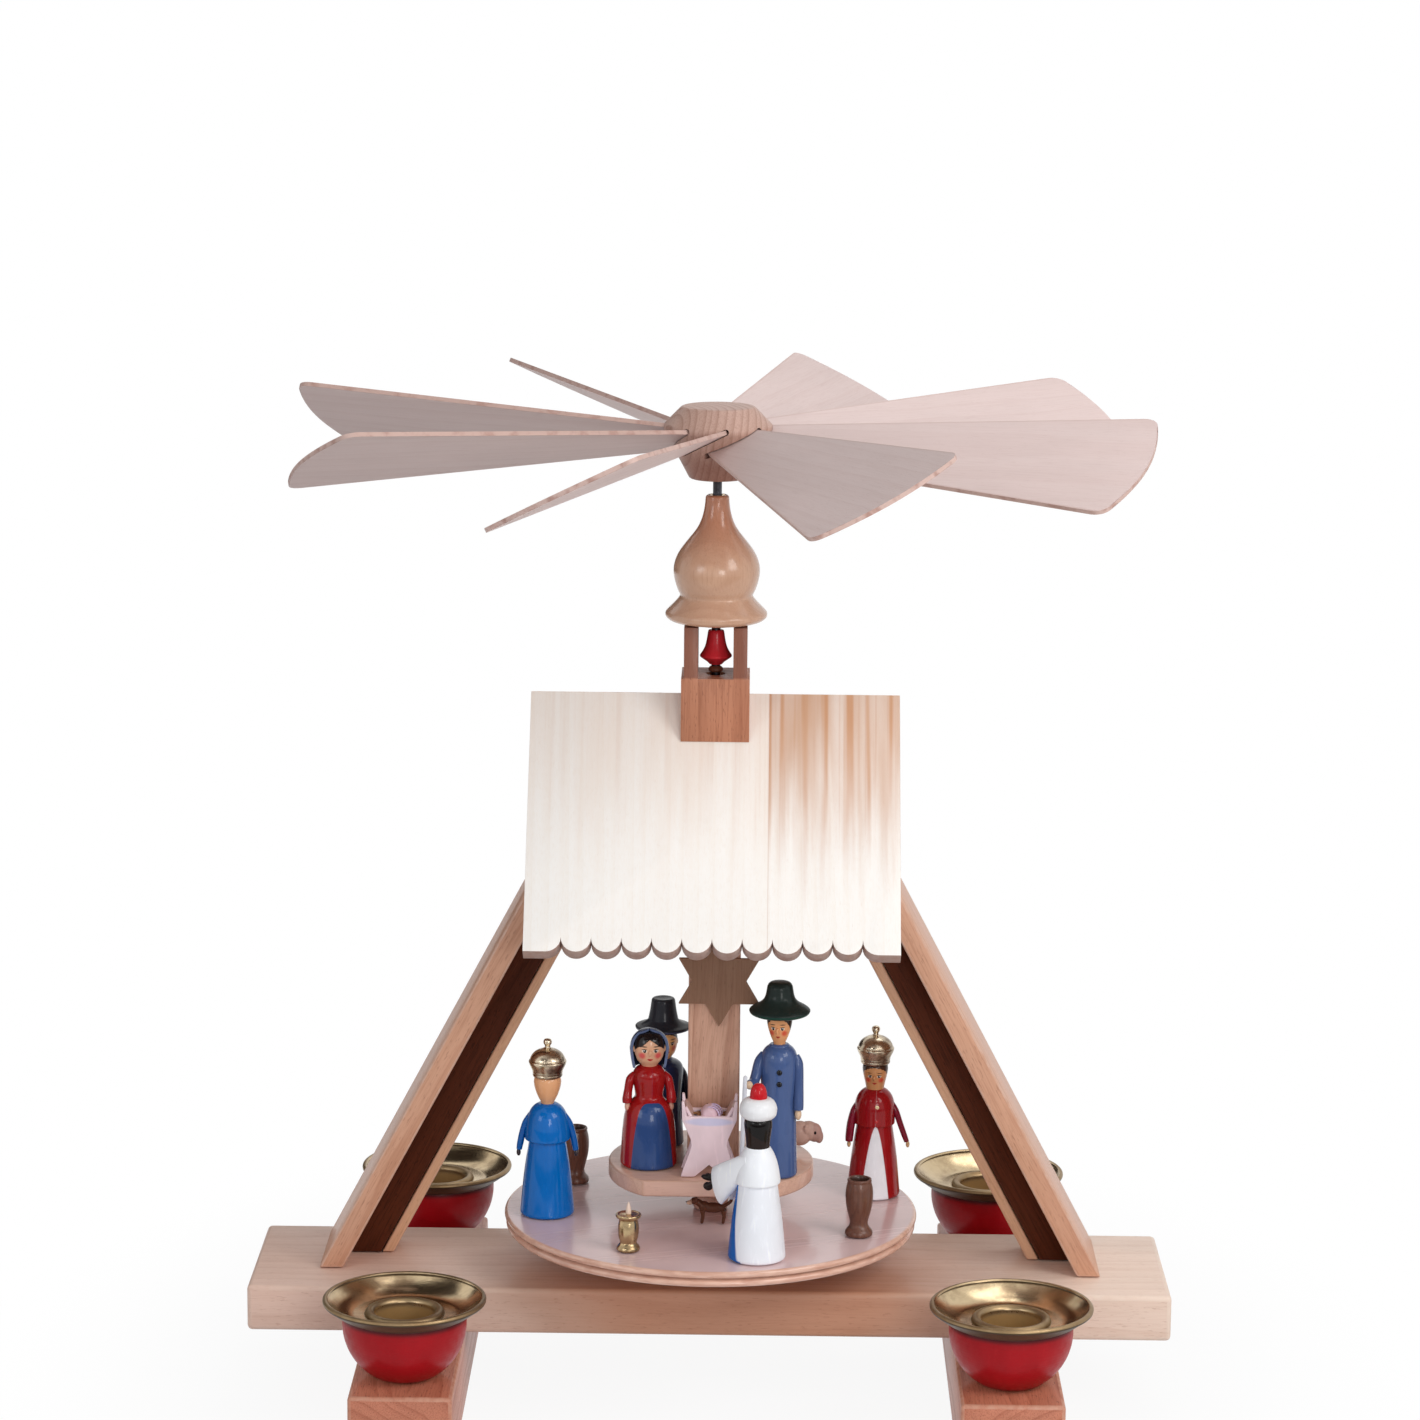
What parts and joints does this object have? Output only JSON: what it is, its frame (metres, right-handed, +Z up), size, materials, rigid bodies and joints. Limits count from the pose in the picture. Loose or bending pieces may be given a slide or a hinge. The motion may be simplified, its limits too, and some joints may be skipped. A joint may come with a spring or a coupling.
{
  "type": "candle carousel",
  "caption": "Wooden candle carousel: heat-driven bladed wheel on a steel shaft turns a disc of painted figures inside a roofed frame with candle holders.",
  "frame": {"origin": "on the floor, on the axis of the shaft, at the middle of the footprint", "axes": "+Z up along the shaft, +X to the right along the plank, +Y to the back along the foot beams"},
  "size_m": [0.2614, 0.2393, 0.2866],
  "materials": {
    "beech_plank": "satin lacquered",
    "beech_beam": "stained, satin",
    "beech_leg": "satin",
    "walnut_web": "stained, satin",
    "spruce_roof": "matt",
    "tower_wood": "satin",
    "dome_wood": "gloss lacquered",
    "blade_wood": "matt",
    "hub_wood": "satin",
    "table_wood": "gloss lacquered",
    "stage_wood": "satin",
    "star_wood": "stained, matt",
    "red_wood": "painted, satin",
    "red_figure": "painted, gloss",
    "blue_figure": "painted, gloss",
    "slate_figure": "painted, gloss",
    "navy_figure": "painted, gloss",
    "white_figure": "painted, gloss",
    "black_hat": "painted, satin",
    "crib_wood": "painted, satin",
    "blanket": "painted, satin",
    "animal_wood": "painted, satin",
    "brown_wood": "painted, gloss",
    "brass": "polished",
    "gold": "gold paint, gloss",
    "steel": "drawn"
  },
  "bodies": {
    "stand": {"cross_plank": "beech_plank", "foot_beam_left": "beech_beam", "foot_beam_right": "beech_beam", "candle_bowl_front_left": "red_wood", "candle_bowl_front_right": "red_wood", "candle_bowl_back_left": "red_wood", "candle_bowl_back_right": "red_wood", "drip_tray_front_left": "brass", "drip_tray_front_right": "brass", "drip_tray_back_left": "brass", "drip_tray_back_right": "brass", "bearing_cup": "brass", "left_leg_board": "beech_leg", "left_leg_web": "walnut_web", "left_leg_strip": "beech_leg", "right_leg_board": "beech_leg", "right_leg_web": "walnut_web", "right_leg_strip": "beech_leg", "apex_block": "beech_plank", "roof_panel_front": "spruce_roof", "roof_panel_back": "spruce_roof", "tower_block": "tower_wood", "onion_dome": "dome_wood", "guide_bush": "brass", "stage_post": "stage_wood", "star": "star_wood", "stage": "stage_wood", "manger": "crib_wood", "infant": "blanket", "mother": "red_figure", "mother_headscarf": "navy_figure", "father": "navy_figure", "father_hat": "black_hat", "shepherd": "slate_figure", "shepherd_hat": "black_hat", "shepherd_staff": "white_figure", "sheep": "animal_wood"},
    "rotor": {"shaft": "steel", "turntable_collar": "table_wood", "turntable": "table_wood", "bell": "red_wood", "king_blue": "blue_figure", "king_blue_crown": "gold", "king_red": "red_figure", "king_red_crown": "gold", "king_white": "white_figure", "king_white_turban": "white_figure", "vase_right": "brown_wood", "vase_left": "brown_wood", "brass_lantern": "brass", "small_dog": "brown_wood"},
    "impeller": {"hub": "hub_wood", "blade_1": "blade_wood", "blade_2": "blade_wood", "blade_3": "blade_wood", "blade_4": "blade_wood", "blade_5": "blade_wood", "blade_6": "blade_wood", "blade_7": "blade_wood", "blade_8": "blade_wood"}
  },
  "joints": [
    {"name": "rotor_spin", "type": "hinge", "parent": "stand", "child": "rotor", "pos_m": [0, 0, 0.0356], "axis": [0, 0, 1], "continuous": true},
    {"name": "impeller_lift", "type": "slide", "parent": "rotor", "child": "impeller", "axis": [0, 0, 1], "range_m": [0, 0.025]}
  ]
}
